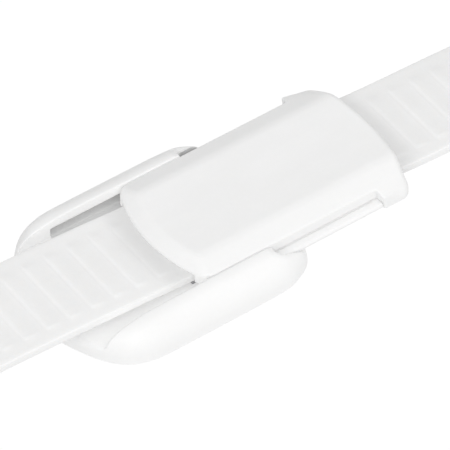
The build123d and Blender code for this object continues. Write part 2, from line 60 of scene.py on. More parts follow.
# ---------------------------------------------------------------- shader nodes
class Shader:
    """A cleared node tree with its output node."""

    def __init__(self, owner, output):
        owner.use_nodes = True
        self.tree = owner.node_tree
        self.tree.nodes.clear()
        self.output = self.add(output)

    def add(self, kind, inputs=None, **settings):
        made = self.tree.nodes.new("ShaderNode" + kind)
        for key, value in settings.items():
            setattr(made, key, value)
        self.feed(made, inputs or {})
        return made

    def feed(self, node, inputs):
        """Link each socket, or set its value."""
        for key, value in inputs.items():
            if isinstance(value, bpy.types.NodeSocket):
                self.tree.links.new(value, node.inputs[key])
            else:
                node.inputs[key].default_value = value

    def principled(self):
        node = self.add("BsdfPrincipled")
        self.feed(self.output, {0: node.outputs[0]})
        return node

    def stretch(self, vector, scale):
        return self.add("Mapping", {"Scale": scale, "Vector": vector}).outputs["Vector"]

    def position(self, name=None):
        """Object coordinates in millimetres."""
        source = self.add("TexCoord")
        if name:
            source.name = name
        return self.stretch(source.outputs["Object"], (1000, 1000, 1000))

    def axes(self, vector):
        return self.add("SeparateXYZ", {0: vector}).outputs

    def noise(self, vector, scale, detail, roughness, stretch=None):
        if stretch is not None:
            vector = self.stretch(vector, stretch)
        return self.add("TexNoise", {"Scale": scale, "Detail": detail, "Roughness": roughness,
                                     "Vector": vector}).outputs["Fac"]

    def ramp(self, value, stops):
        """Stops are (position, grey or RGB)."""
        node = self.add("ValToRGB", {"Fac": value})
        elements = node.color_ramp.elements
        while len(elements) < len(stops):
            elements.new(0.5)
        for element, (position, tint) in zip(elements, stops):
            element.position = position
            element.color = (*tint, 1) if isinstance(tint, tuple) else (tint, tint, tint, 1)
        return node.outputs["Color"]

    def map_range(self, value, source, target):
        return self.add("MapRange", {"From Min": source[0], "From Max": source[1],
                                     "To Min": target[0], "To Max": target[1],
                                     "Value": value}).outputs["Result"]

    def tint(self, colour, factor, strength=1.0):
        """Multiply one colour by another."""
        return self.add("MixRGB", {"Fac": strength, "Color1": colour, "Color2": factor},
                        blend_type="MULTIPLY").outputs["Color"]

    def math(self, operation, first, second=0.0, third=0.0):
        return self.add("Math", {0: first, 1: second, 2: third}, operation=operation).outputs[0]

    def occlusion(self, distance):
        return self.add("AmbientOcclusion", {"Distance": distance * MM}, samples=8).outputs["AO"]

    def bump(self, height, strength, distance, under=None):
        inputs = {"Strength": strength, "Distance": distance * MM, "Height": height}
        if under is not None:
            inputs["Normal"] = under
        return self.add("Bump", inputs).outputs["Normal"]


def new_material(name):
    material = bpy.data.materials.new(name)
    return material, Shader(material, "OutputMaterial")


# ---------------------------------------------------------------- materials
# Box in which the tray's groove on the +y side gets painted shade: x, y and z ranges
SHADED_GROOVE = ((-9.25, 17.0), (7.5, 12.3), (2.6, 4.36))


def mouth_shade(shader, colour, end_x, bow, outward, stops):
    """Painted shade: darken a band's colour where a neighbour stands close over it, and paint a
    shadow along the slider's mouth.
    """
    near = shader.occlusion(distance=3.2)
    x, y, _ = shader.axes(shader.position("at_slider"))
    edge = shader.math("MULTIPLY_ADD", shader.math("MULTIPLY", y, y), bow, end_x)
    gap = shader.math("MULTIPLY", shader.math("SUBTRACT", edge, x), outward)
    # painted shadow of the slider's lip: darkest at the mouth's edge, gone 6 mm out
    lip_shadow = shader.ramp(shader.map_range(gap, source=(0.0, 6.0), target=(0.0, 1.0)), stops)
    # painted shade where the cover or a wall stands close over the band
    close = shader.map_range(near, source=(0.35, 0.98), target=(0.95, 1.0))
    return shader.tint(colour, shader.math("MULTIPLY", close, lip_shadow))


def groove_shade(shader, position, colour, gain):
    """Painted shade: dim the colour and the painted glow inside the groove, and the painted glow
    low in the tray.
    """
    axes = shader.axes(position)
    inside = None
    for axis, limits in enumerate(SHADED_GROOVE):
        for operation, limit in zip(("GREATER_THAN", "LESS_THAN"), limits):
            side = shader.math(operation, axes[axis], limit)
            inside = side if inside is None else shader.math("MULTIPLY", inside, side)
    # painted shade inside the groove: colour a fifth darker, most of the painted glow taken away
    glow_loss, colour_loss = -0.78, -0.20
    gain = shader.math("MULTIPLY", gain, shader.math("MULTIPLY_ADD", inside, glow_loss, 1.0))
    # the painted glow is a fifth weaker down at the tray's floor
    rise = shader.map_range(axes[2], source=(2.85, 3.6), target=(0.80, 1.0))
    gain = shader.math("MULTIPLY", gain, rise)
    return shader.tint(colour, shader.math("MULTIPLY_ADD", inside, colour_loss, 1.0)), gain


def plastic(name, tints, roughness, scatter, depth, grain, specular, glow,
            mouth=None, groove=False, glow_half_width=None):
    """Moulded plastic: faint flow mottling, satin roughness and a fine grain, plus a painted
    glow in its hollows and, when given, painted shade at a slider's mouth and in the tray's
    groove.
    """
    material, shader = new_material(name)
    bsdf = shader.principled()
    position = shader.position()
    flow = shader.noise(position, scale=0.09, detail=3.0, roughness=0.5, stretch=(1.0, 2.2, 1.0))
    fine = shader.noise(position, scale=1.6, detail=5.0, roughness=0.6)
    satin = shader.noise(position, scale=0.45, detail=4.0, roughness=0.6)
    mottled = shader.tint(shader.ramp(flow, [(0.32, tints[0]), (0.68, tints[1])]),
                          shader.ramp(fine, [(0.3, 0.965), (0.7, 1.0)]), strength=0.35)
    colour = mouth_shade(shader, mottled, **mouth) if mouth else mottled

    # painted light: an emission in the plastic's own colour, strongest in hollows, standing in
    # for light scattered through the white plastic into them
    hollow_glow = shader.ramp(shader.occlusion(distance=5.0), [(0.0, 1.0), (0.30, 1.0), (0.85, 0.0)])
    gain = shader.math("MULTIPLY", hollow_glow, glow)
    # painted shade in the tray's groove
    if groove:
        colour, gain = groove_shade(shader, position, colour, gain)
    # the painted glow only within this distance of the centre line
    if glow_half_width is not None:
        across = shader.math("ABSOLUTE", shader.axes(position)[1])
        gain = shader.math("MULTIPLY", gain, shader.math("LESS_THAN", across, glow_half_width))

    micro = shader.noise(position, scale=9.0, detail=3.0, roughness=0.6)
    waves = shader.noise(position, scale=0.7, detail=2.0, roughness=0.5)
    skin = shader.bump(micro, strength=0.10 * grain, distance=0.02)
    shader.feed(bsdf, {
        "Base Color": colour,
        "Roughness": shader.map_range(satin, source=(0.3, 0.7), target=roughness),
        "Subsurface Weight": scatter,
        "Subsurface Radius": (1.0, 0.95, 0.9),
        "Subsurface Scale": depth * MM,
        "Specular IOR Level": specular,
        "IOR": 1.49,
        # the painted glow's colour and strength
        "Emission Color": mottled,
        "Emission Strength": gain,
        "Normal": shader.bump(waves, strength=0.10 * grain, distance=0.10, under=skin),
    })
    return material


def brushed(name, tints, stretch=(0.03, 1.0, 1.0), roughness=(0.26, 0.42)):
    """Metal with streaks along the least stretched axis, under soft clouds."""
    material, shader = new_material(name)
    bsdf = shader.principled()
    position = shader.position()
    streak = shader.noise(position, scale=9.0, detail=6.0, roughness=0.7, stretch=stretch)
    cloud = shader.noise(position, scale=0.35, detail=3.0, roughness=0.5)
    shader.feed(bsdf, {
        "Base Color": shader.tint(shader.ramp(streak, [(0.3, tints[0]), (0.7, tints[1])]),
                                  shader.ramp(cloud, [(0.3, 0.86), (0.7, 1.0)]), strength=0.5),
        "Metallic": 1.0,
        "Roughness": shader.map_range(streak, source=(0.3, 0.7), target=roughness),
        "Normal": shader.bump(streak, strength=0.25, distance=0.02),
    })
    return material


SHELL = plastic("white_shell", tints=((0.900, 0.900, 0.897), (0.920, 0.920, 0.918)),
                roughness=(0.30, 0.40), scatter=0.10, depth=0.8, grain=1.0,
                specular=0.45, glow=0.19, groove=True)
SLIDER = plastic("white_slider", tints=((0.895, 0.895, 0.892), (0.915, 0.915, 0.913)),
                 roughness=(0.33, 0.43), scatter=0.10, depth=0.8, grain=1.0,
                 specular=0.42, glow=0.14, glow_half_width=10.0)
BAND_FINISH = dict(roughness=(0.50, 0.62), scatter=0.20, depth=1.0, grain=1.6, specular=0.32)
# The two bands are one plastic: the left band is painted a touch lighter, with a stronger
# painted glow, than the right band, to set each band's brightness in the light it gets.
LEFT_BAND = plastic(
    "white_band", tints=((0.890, 0.890, 0.887), (0.915, 0.915, 0.913)), glow=0.20,
    # painted shadow along the slider's -x mouth
    mouth=dict(end_x=SLIDER_LEFT, bow=LEFT_BOW, outward=1.0,
               stops=[(0.0, 0.83), (0.40, 0.895), (0.66, 0.98), (1.0, 1.0)]), **BAND_FINISH)
RIGHT_BAND = plastic(
    "white_band_right", tints=((0.880, 0.880, 0.877), (0.905, 0.905, 0.903)), glow=0.12,
    # painted shadow along the slider's +x collar
    mouth=dict(end_x=SLIDER_RIGHT, bow=RIGHT_BOW, outward=-1.0,
               stops=[(0.0, 0.89), (0.36, 0.925), (0.62, 0.985), (1.0, 1.0)]), **BAND_FINISH)
STEEL = brushed("stainless", tints=((0.60, 0.60, 0.61), (0.74, 0.74, 0.75)))
DISC = brushed("stainless_round", tints=((0.58, 0.58, 0.59), (0.72, 0.72, 0.73)),
               stretch=(1.0, 0.05, 1.0))
SPRING = brushed("spring_steel", tints=((0.46, 0.46, 0.48), (0.60, 0.60, 0.62)),
                 stretch=(0.05, 1.0, 1.0), roughness=(0.22, 0.36))


def assign(part, material):
    part.data.materials.clear()
    part.data.materials.append(material)


CAD_MATERIALS = (
    (STEEL, ("skin_contact_plate", "lock_cam_strip", "lock_bar")),
    (DISC, ("cam_rivets", "detent_rivets", "cover_screws", "left_strip_rivets",
            "right_strip_rivets", "closure_eyelets", "snap_stud", "stud_washer",
            "skin_contact_disc")),
    (SPRING, ("detent_springs", "hold_down_spring", "lock_return_springs",
              "left_contact_strips", "right_contact_strips")),
    (SHELL, ("base_housing",)),
    (SLIDER, ("slider_cover", "slide_plate")),
    (LEFT_BAND, ("left_band",)),
    (RIGHT_BAND, ("right_band",)),
)
for cad_material, cad_names in CAD_MATERIALS:
    for cad_name in cad_names:
        assign(nodes[cad_name], cad_material)


# ---------------------------------------------------------------- mesh helpers
def add_object(name, data):
    made = bpy.data.objects.new(name, data)
    bpy.context.scene.collection.objects.link(made)
    return made


def stand_in(part, material, carrier, cad_name):
    """Let a finished part take the place of a CAD piece."""
    assign(part, material)
    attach(part, carrier)
    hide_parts(cad_name)


def cad_box(cad_name):
    low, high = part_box(cad_name)
    return np.array(low) * 1000, np.array(high) * 1000


def smooth_step(value):
    t = np.clip(value, 0, 1)
    return t * t * (3 - 2 * t)


# Bodies are functions of place that are negative inside.
def meet(first, second, radius):
    """Intersection, the edge between the two rounded."""
    return (np.minimum(np.maximum(first, second), -radius)
            + np.hypot(np.maximum(first + radius, 0), np.maximum(second + radius, 0)))


def join(first, second, radius):
    """Union with a concave fillet."""
    return -meet(-first, -second, radius)


def cut(body, tool, radius):
    """Body minus tool, the new edge rounded, or sharp at radius 0."""
    return meet(body, -tool, radius) if radius else np.maximum(body, -tool)


def slab(place, low, high):
    return np.maximum(low - place, place - high)


def block(point, *ranges):
    """Box from its x, |y| and z ranges; the point is (x, |y|, z)."""
    x_slab, y_slab, z_slab = (slab(place, *limits) for place, limits in zip(point, ranges))
    return np.maximum(np.maximum(x_slab, y_slab), z_slab)


def neighbours(grid, axis):
    """The lower and upper ends of all grid edges along an axis."""
    lower, upper = [slice(None)] * 3, [slice(None)] * 3
    lower[axis], upper[axis] = slice(0, -1), slice(1, None)
    return grid[tuple(lower)], grid[tuple(upper)]


def surface(name, field, low, high, step):
    """Quad skin of a body on an even grid, one vertex in each cell the skin passes through."""
    count = [int(math.ceil((high[i] - low[i]) / step)) + 1 for i in range(3)]
    x, y, z = np.ix_(*(low[i] + step * np.arange(count[i]) for i in range(3)))
    values = np.broadcast_to(field(x, y, z), count).astype(np.float32)
    values = np.where(np.abs(values) < 1e-5, np.float32(1e-5), values)

    # each vertex is the mean of the crossings on its cell's edges
    cells = [n - 1 for n in count]
    total = np.zeros(cells + [3], np.float32)
    hits = np.zeros(cells, np.float32)
    for axis in range(3):
        side_a, side_b = [k for k in range(3) if k != axis]
        start, end = neighbours(values, axis)
        crossed = (start < 0) != (end < 0)
        along = np.where(crossed, start / np.where(crossed, start - end, 1), 0)
        for a in (0, 1):
            for b in (0, 1):
                window = [slice(None)] * 3
                window[side_a] = slice(a, a + cells[side_a])
                window[side_b] = slice(b, b + cells[side_b])
                hit = crossed[tuple(window)].astype(np.float32)
                hits += hit
                total[..., axis] += along[tuple(window)] * hit
                total[..., side_a] += a * hit
                total[..., side_b] += b * hit
    active = hits > 0
    index = np.full(cells, -1, np.int64)
    index[active] = np.arange(int(active.sum()))
    places = (np.argwhere(active) + total[active] / hits[active][:, None]) * step + np.array(low)

    # one quad for each crossed grid edge, wound to face outwards
    quads = []
    for axis in range(3):
        side_a, side_b = (axis + 1) % 3, (axis + 2) % 3
        start, end = neighbours(values < 0, axis)
        edges = np.argwhere(start != end)
        edges = edges[(edges[:, side_a] >= 1) & (edges[:, side_b] >= 1)
                      & (edges[:, side_a] < cells[side_a]) & (edges[:, side_b] < cells[side_b])]
        outward = start[tuple(edges.T)]
        corners = []
        for a, b in ((-1, -1), (0, -1), (0, 0), (-1, 0)):
            cell = edges.copy()
            cell[:, side_a] += a
            cell[:, side_b] += b
            corners.append(index[tuple(cell.T)])
        quad = np.stack(corners, 1)
        quad[~outward] = quad[~outward][:, ::-1]
        quads.append(quad)
    quads = np.concatenate(quads)

    # even out the grid's steps: a smoothing pass, then one back that keeps the volume
    for weight in (0.5, -0.52):
        near_sum = np.zeros_like(places)
        near_count = np.zeros(len(places))
        for i in range(4):
            here, there = quads[:, i], quads[:, (i + 1) % 4]
            np.add.at(near_sum, here, places[there])
            np.add.at(near_count, here, 1)
        places = places + weight * (near_sum / np.maximum(near_count, 1)[:, None] - places)

    mesh = bpy.data.meshes.new(name)
    mesh.vertices.add(len(places))
    mesh.vertices.foreach_set("co", (places * MM).astype(np.float32).ravel())
    mesh.loops.add(len(quads) * 4)
    mesh.loops.foreach_set("vertex_index", quads.astype(np.int32).ravel())
    mesh.polygons.add(len(quads))
    mesh.polygons.foreach_set("loop_start", np.arange(0, len(quads) * 4, 4, dtype=np.int32))
    mesh.polygons.foreach_set("use_smooth", np.ones(len(quads), dtype=bool))
    mesh.update(calc_edges=True)
    mesh.validate()
    return add_object(name, mesh)


def smooth_chain(points, steps=6):
    """Catmull-Rom curve through the points."""
    p = np.array(points, float)
    chain = []
    for i in range(len(p) - 1):
        a, b, c, d = p[max(i - 1, 0)], p[i], p[i + 1], p[min(i + 2, len(p) - 1)]
        for t in np.arange(steps) / steps:
            chain.append(0.5 * (2 * b + (c - a) * t + (2 * a - 5 * b + 4 * c - d) * t * t
                                + (3 * b - a - 3 * c + d) * t ** 3))
    chain.append(p[-1])
    return np.array(chain)


# ---------------------------------------------------------------- clasp tray
TRAY_HALF = cad_box("base_housing")[1][1]
CHANNEL_HALF, TRAY_FLOOR = 10.6, 2.8
TRAY_TOP = 6.27
WALL_FOOT_Z = 1.5           # where the outer wall starts to curve inwards
WALL_POWER = 1.84           # exponent of the outer wall's superellipse
BOTTOM_RADIUS = 1.15
RIDGE_RADIUS = 0.55

# Half of the outline in plan: x, y
TRAY_OUTLINE = smooth_chain([
    (-18.62, 0), (-18.5, 2.4), (-17.95, 4.9), (-17.0, 7.4), (-15.85, 9.8), (-14.7, 11.5),
    (-13.1, 13.08), (-11.3, 14.02), (-9.0, 14.6), (-6.5, TRAY_HALF - 0.02), (-2.0, TRAY_HALF),
    (5.0, TRAY_HALF), (10.4, TRAY_HALF - 0.05), (13.3, 14.45), (15.3, 13.72), (16.7, 12.95),
    (17.6, 12.05), (18.15, 10.7), (18.42, 8.5), (18.55, 4.4), (18.6, 0)])
# Greatest height along the tray: x, z
RIDGE = smooth_chain([
    (-19.5, 2.2), (-16.6, 2.45), (-15.7, 2.95), (-15.0, 3.8), (-14.2, 4.45), (-13.0, 4.98),
    (-11.6, 5.38), (-9.6, 5.82), (-7.7, 6.1), (-5.0, 6.24), (-1.0, 6.27), (10.6, 6.27),
    (11.8, 6.12), (12.6, 5.8), (13.5, 5.35), (14.6, 4.88), (16.0, 4.4), (17.4, 3.95),
    (18.4, 3.3), (19.5, 2.6)])
# Side grooves: x, |y| and z ranges
GROOVE = ((-9.2, FAR), (-FAR, 12.05), (3.05, 4.42))
# Slots in the floor, one on the centre line and one to each side
FLOOR_SLOTS = (((-2.54, 17.24), (-FAR, 1.44), (1.6, FAR)),
               ((1.5, 13.5), (5.55, 7.65), (1.9, FAR)))
# Notch in the +x end, open to that side
NOTCH_X, NOTCH_HALF, NOTCH_RADIUS = 12.45, 12.25, 1.1
# Round-cornered pocket in the underside: corner centre, corner radius, ceiling
POCKET_X, POCKET_Y, POCKET_RADIUS, POCKET_Z = 11.04, 6.04, 2.5, 0.84


def inside_distance(x_grid, y_grid):
    """Distance to the tray's outline, positive inside."""
    x, y = np.broadcast_arrays(x_grid, np.abs(y_grid))
    nearest = np.full(x.shape, 1e9)
    for (x0, y0), (x1, y1) in zip(TRAY_OUTLINE[:-1], TRAY_OUTLINE[1:]):
        dx, dy = x1 - x0, y1 - y0
        t = np.clip(((x - x0) * dx + (y - y0) * dy) / (dx * dx + dy * dy), 0, 1)
        nearest = np.minimum(nearest, np.hypot(x - x0 - t * dx, y - y0 - t * dy))
    limit = np.interp(x_grid[:, 0], TRAY_OUTLINE[:, 0], TRAY_OUTLINE[:, 1], left=-1, right=-1)
    return np.where(y < limit[:, None], nearest, -nearest)


def tray_field(x, y, z):
    across = np.abs(y)
    point = (x, across, z)
    depth = inside_distance(x[:, :, 0], y[:, :, 0])[:, :, None]
    wall = TRAY_HALF - CHANNEL_HALF
    outer = (((np.maximum(wall - depth, 0) / wall) ** WALL_POWER
              + (np.maximum(z - WALL_FOOT_Z, 0) / (TRAY_TOP - WALL_FOOT_Z)) ** WALL_POWER)
             ** (1 / WALL_POWER) - 1) * wall
    bottom = (np.hypot(np.maximum(BOTTOM_RADIUS - depth, 0) / BOTTOM_RADIUS,
                       np.maximum(BOTTOM_RADIUS - z, 0) / BOTTOM_RADIUS) - 1) * BOTTOM_RADIUS
    body = np.maximum(outer, bottom)
    ridge = np.interp(x, RIDGE[:, 0], RIDGE[:, 1])
    slope = np.gradient(ridge[:, 0, 0], x[:, 0, 0])[:, None, None]
    body = meet(body, (z - ridge) / np.sqrt(1 + slope * slope), RIDGE_RADIUS)

    channel = meet(across - CHANNEL_HALF, TRAY_FLOOR - z, radius=0.35)
    body = cut(body, channel, radius=0.22)
    body = cut(body, block(point, *GROOVE), radius=0.10)
    notch = np.maximum(meet(NOTCH_X - x, across - NOTCH_HALF, NOTCH_RADIUS), TRAY_FLOOR - z)
    body = cut(body, notch, radius=0.20)
    pocket = np.hypot(np.maximum(np.abs(x) - POCKET_X, 0),
                      np.maximum(across - POCKET_Y, 0)) - POCKET_RADIUS
    body = cut(body, np.maximum(pocket, z - POCKET_Z), radius=0.06)
    for slot in FLOOR_SLOTS:
        body = cut(body, block(point, *slot), radius=0.08)
    return body


tray = surface("clasp_tray", tray_field, (-19.3, -15.3, -0.5), (19.3, 15.3, 7.0), GRID_STEP)
stand_in(tray, SHELL, "clasp_base", "base_housing")

# ---------------------------------------------------------------- slide cover
COVER_HALF, COVER_TOP, COVER_FOOT = 10.42, 6.9, 3.05
ROOF_DISH = 0.0032                                  # rise per y squared
CREASE_Z, BEVEL_Y, BEVEL_Z = 6.0, 0.318, 0.948      # side bevels: crease height, normal
# Sloping corners at the +x end: height at the origin, fall per x and per |y|, normal's length
CORNER_Z, CORNER_X_FALL, CORNER_Y_FALL, CORNER_LENGTH = 22.50, 0.2675, 0.726, 1.264
# Ears at the +x end: their start, its lean with |y| and z, and where that lean is zero
EAR_HALF, EAR_X, EAR_LEAN_Y, EAR_LEAN_Z = 11.95, 30.25, 0.15, 0.14
EAR_ZERO_Y, EAR_ZERO_Z = 10.4, 6.0
# Bevel over the -x end: height at the edge, slope, and the square that scales it
END_BEVEL_Z, END_BEVEL_SLOPE, END_BEVEL_SQUARE = 5.84, 0.56, 0.31
PASSAGE_HALF, PASSAGE_TOP = 8.45, 5.55              # band passage, flared at its -x mouth
COVER_CAVITIES = (                                  # x, |y| and z ranges, edge radius
    ((3.0, 32.5), (-FAR, 8.15), (-FAR, 6.25), 0.08),
    ((-FAR, 30.5), (-FAR, FAR), (-FAR, 4.25), 0.10))


def cover_field(x, y, z):
    across = np.abs(y)
    # roof: a broad, very slightly dished top between two shallow bevels
    bevel = BEVEL_Y * (across - COVER_HALF) + BEVEL_Z * (z - CREASE_Z)
    roof = meet(z - (COVER_TOP + ROOF_DISH * across * across), bevel, radius=0.30)
    corner = z - (CORNER_Z - CORNER_X_FALL * x - CORNER_Y_FALL * across)
    roof = meet(roof, corner / CORNER_LENGTH, radius=0.45)

    # plan: side walls, ears and the two bowed ends
    ear_start = EAR_X + EAR_LEAN_Y * (across - EAR_ZERO_Y) + EAR_LEAN_Z * (EAR_ZERO_Z - z)
    ear = meet(across - EAR_HALF, ear_start - x, radius=0.30)
    plan = join(across - COVER_HALF, ear, radius=0.20)
    left_edge = SLIDER_LEFT + LEFT_BOW * y * y
    left_slope = 2 * LEFT_BOW * y
    left = (left_edge - x) / np.sqrt(1 + left_slope * left_slope)
    left = meet(left, across - COVER_HALF, radius=1.5)
    plan = np.maximum(plan, np.where(x < 8, left, -9))
    step_back = 0.32 * np.clip((across - 9.2) / 1.4, 0, 1)
    right = ((x - (SLIDER_RIGHT + RIGHT_BOW * y * y) - step_back)
             / np.sqrt(1 + (2 * RIGHT_BOW * y) ** 2))
    plan = np.maximum(plan, np.where(x > 31, meet(right, across - EAR_HALF, radius=1.1), -9))

    # the roof's edge grows rounder towards the +x end
    edge_radius = 0.22 + 0.70 * smooth_step((x - 30.6) / 2.6)
    body = meet(roof, plan, edge_radius)
    end_bevel = ((z - END_BEVEL_Z - END_BEVEL_SLOPE * (x - left_edge))
                 / np.sqrt(1 + END_BEVEL_SQUARE * (1 + left_slope * left_slope)))
    body = meet(body, end_bevel, radius=0.30)

    passage = PASSAGE_HALF + 0.15 * np.clip((3.0 - x) / 2.0, 0, 1)
    body = cut(body, np.maximum(across - passage, z - PASSAGE_TOP), radius=0.08)
    for *ranges, radius in COVER_CAVITIES:
        body = cut(body, block((x, across, z), *ranges), radius)
    return np.maximum(body, COVER_FOOT - z)


cover = surface("slide_cover", cover_field, (-1.2, -12.6, 2.6), (37.7, 12.6, 7.9), GRID_STEP)
stand_in(cover, SLIDER, "slider", "slider_cover")
# the painted shade at the slider's two mouths travels with it
for band_material in (LEFT_BAND, RIGHT_BAND):
    band_material.node_tree.nodes["at_slider"].object = cover

# ---------------------------------------------------------------- slide plate with its rails
PLATE_X, PLATE_HALF, PLATE_FOOT = (2.6, 30.4), 10.3, 2.95
RAIL_X, RAIL_Y, RAIL_Z = (8.7, 30.64), (9.6, 11.85), (3.3, 4.2)
PLATE_CUTS = (                          # x, |y| and z ranges, edge radius
    ((9.5, 29.6), (10.38, 10.54), (4.06, FAR), 0.05),   # relief along the cover's side
    ((6.64, 25.36), (-FAR, 6.26), (-FAR, FAR), 0),
    ((5.2, 26.8), (-FAR, 1.75), (-FAR, FAR), 0),
    ((-1, 5.3), (-FAR, 1.52), (-FAR, FAR), 0),
    ((26.7, 31.4), (-FAR, 1.52), (-FAR, 3.2), 0),
    ((5.2, 6.8), (-FAR, 3.2), (-FAR, FAR), 0),
    ((3.37, 6.33), (1.67, 2.93), (-FAR, 3.2), 0),
    ((25.67, 28.83), (-FAR, 1.13), (-FAR, 3.2), 0))


def plate_field(x, y, z):
    across = np.abs(y)
    point = (x, across, z)
    sheet = block(point, PLATE_X, (-FAR, PLATE_HALF), (PLATE_FOOT, 3.58))
    walls = block(point, PLATE_X, (8.5, PLATE_HALF), (PLATE_FOOT, RAIL_Z[1]))
    rail = meet(slab(z, *RAIL_Z), across - RAIL_Y[1], radius=0.42)
    rail = np.maximum(meet(rail, slab(x, *RAIL_X), radius=0.14), RAIL_Y[0] - across)
    body = np.minimum(np.minimum(sheet, walls), rail)
    for *ranges, radius in PLATE_CUTS:
        body = cut(body, block(point, *ranges), radius)
    return body


plate = surface("slide_rails", plate_field, (2.0, -12.3, 2.6), (31.0, 12.3, 4.6),
                GRID_STEP * 0.85)
stand_in(plate, SLIDER, "slider", "slide_plate")

# ---------------------------------------------------------------- bands
BAND_THICK, BAND_HALF, BAND_EDGE_RADIUS = 1.45, 8.06, 0.24
CAD_BAND_HALF = 8.0             # also the radius of the round free end
BAND_END = 94.0                 # distance of both free ends from x = 0
CROWN = 0.05
RIB_HEIGHT, RIB_PITCH = 0.12, 3.63
GROOVE_HALF, GROOVE_Y, GROOVE_DEPTH = 0.55, 3.6, 0.50
RECESS_Y, RECESS_DEPTH = (4.36, 6.04), 0.172

# Rough underside, to pick out the CAD band's lower edge: x, z
LEFT_ROUGH = [(-94, 0.9), (-71, 0.9), (-62, 1.9), (-52, 3.6), (-40, 5.1), (-31, 5.45),
              (-24.5, 5.25), (-14.5, 4.7), (-5, 4.1), (-1.5, 3.8), (2.2, 3.65), (16, 3.65)]
RIGHT_ROUGH = [(16, 3.65), (30.6, 3.65), (33.5, 3.42), (36.5, 3.1), (41, 2.72), (48.5, 2.37),
               (58, 1.9), (68, 1.4), (76, 1.05), (82, 0.9), (94, 0.9)]

# Mesh columns across the band: on top evenly spaced, then closer where the ribs fade out
COARSE = 1
top_half = np.concatenate(([0.0], np.arange(0.45, 5.0, 0.45 * COARSE),
                           np.linspace(5.0, 6.2, 13)))
TOP_Y = np.concatenate((-top_half[:0:-1], top_half))
under_half = np.array([0.0, 1.5, 3.0, 3.588, 3.612, 4.35, 4.375, 5.2, 6.025, 6.05, 6.4])
UNDER_Y = np.concatenate((under_half[:0:-1], -under_half))
SHOULDER_Y = (6.75, 7.2)
QUARTER = np.linspace(0, math.pi / 2, 5)


def spaced(places, gap):
    """Indices of sorted places that lie more than a gap past the last one kept."""
    keep = [0]
    for i in range(1, len(places)):
        if places[i] - places[keep[-1]] > gap:
            keep.append(i)
    return keep


def lower_edge(cad_name, rough):
    """(x, z) along the underside of a CAD band, read at its long edges."""
    mesh = nodes[cad_name].data
    places = np.empty(len(mesh.vertices) * 3)
    mesh.vertices.foreach_get("co", places)
    places = places.reshape(-1, 3) * 1000
    places = places[np.abs(np.abs(places[:, 1]) - CAD_BAND_HALF) < 0.02]
    rough_x, rough_z = zip(*rough)
    places = places[np.abs(places[:, 2] - np.interp(places[:, 0], rough_x, rough_z)) < 0.6]
    rounded = np.round(places[:, 0], 2)
    edge = np.array([(x, places[rounded == x][:, 2].min()) for x in np.unique(rounded)])
    return edge[spaced(edge[:, 0], 0.3)]


def hermite(p, x):
    """Smooth curve through the points p, read at x."""
    slope = np.gradient(p[:, 1], p[:, 0])
    i = np.clip(np.searchsorted(p[:, 0], x) - 1, 0, len(p) - 2)
    h = p[i + 1, 0] - p[i, 0]
    t = np.clip((x - p[i, 0]) / h, 0, 1)
    return ((2 * t ** 3 - 3 * t ** 2 + 1) * p[i, 1] + (t ** 3 - 2 * t ** 2 + t) * h * slope[i]
            + (-2 * t ** 3 + 3 * t ** 2) * p[i + 1, 1] + (t ** 3 - t ** 2) * h * slope[i + 1])


def band_stations(first, last, ribs, steps, centre, end):
    """x of the cross-sections: close at ribs, steps and the round end about its centre."""
    stations = list(np.arange(first, last, 0.45 * COARSE))
    for rib in ribs:
        stations += list(rib + np.linspace(-0.8, 0.2, 14))
        stations += list(rib + np.linspace(0.4, 2.6, 12))
    for step in steps:
        stations += [step - 0.012, step + 0.012]
    turn = np.linspace(0, math.pi / 2 * 0.985, 34)
    stations += list(centre + end * CAD_BAND_HALF * np.sin(turn))
    stations += [first, last]
    stations = np.array(sorted(x for x in stations if first <= x <= last))
    stations = stations[spaced(stations, 0.015)]
    stations[-1] = last
    return stations


def rib_height(x, y, ribs):
    """Ribs rise steeply on their -x side, fall gently to +x and fade out at both edges."""
    height = 0.0
    for rib in ribs:
        u = x - rib
        if -0.8 < u < 2.6:
            along = smooth_step((u + 0.75) / 0.75 if u < 0 else (2.5 - u) / 2.4)
            fade = smooth_step((6.35 - abs(y)) / (0.8 if y < 0 else 1.6))
            height = max(height, RIB_HEIGHT * along * fade)
    return height


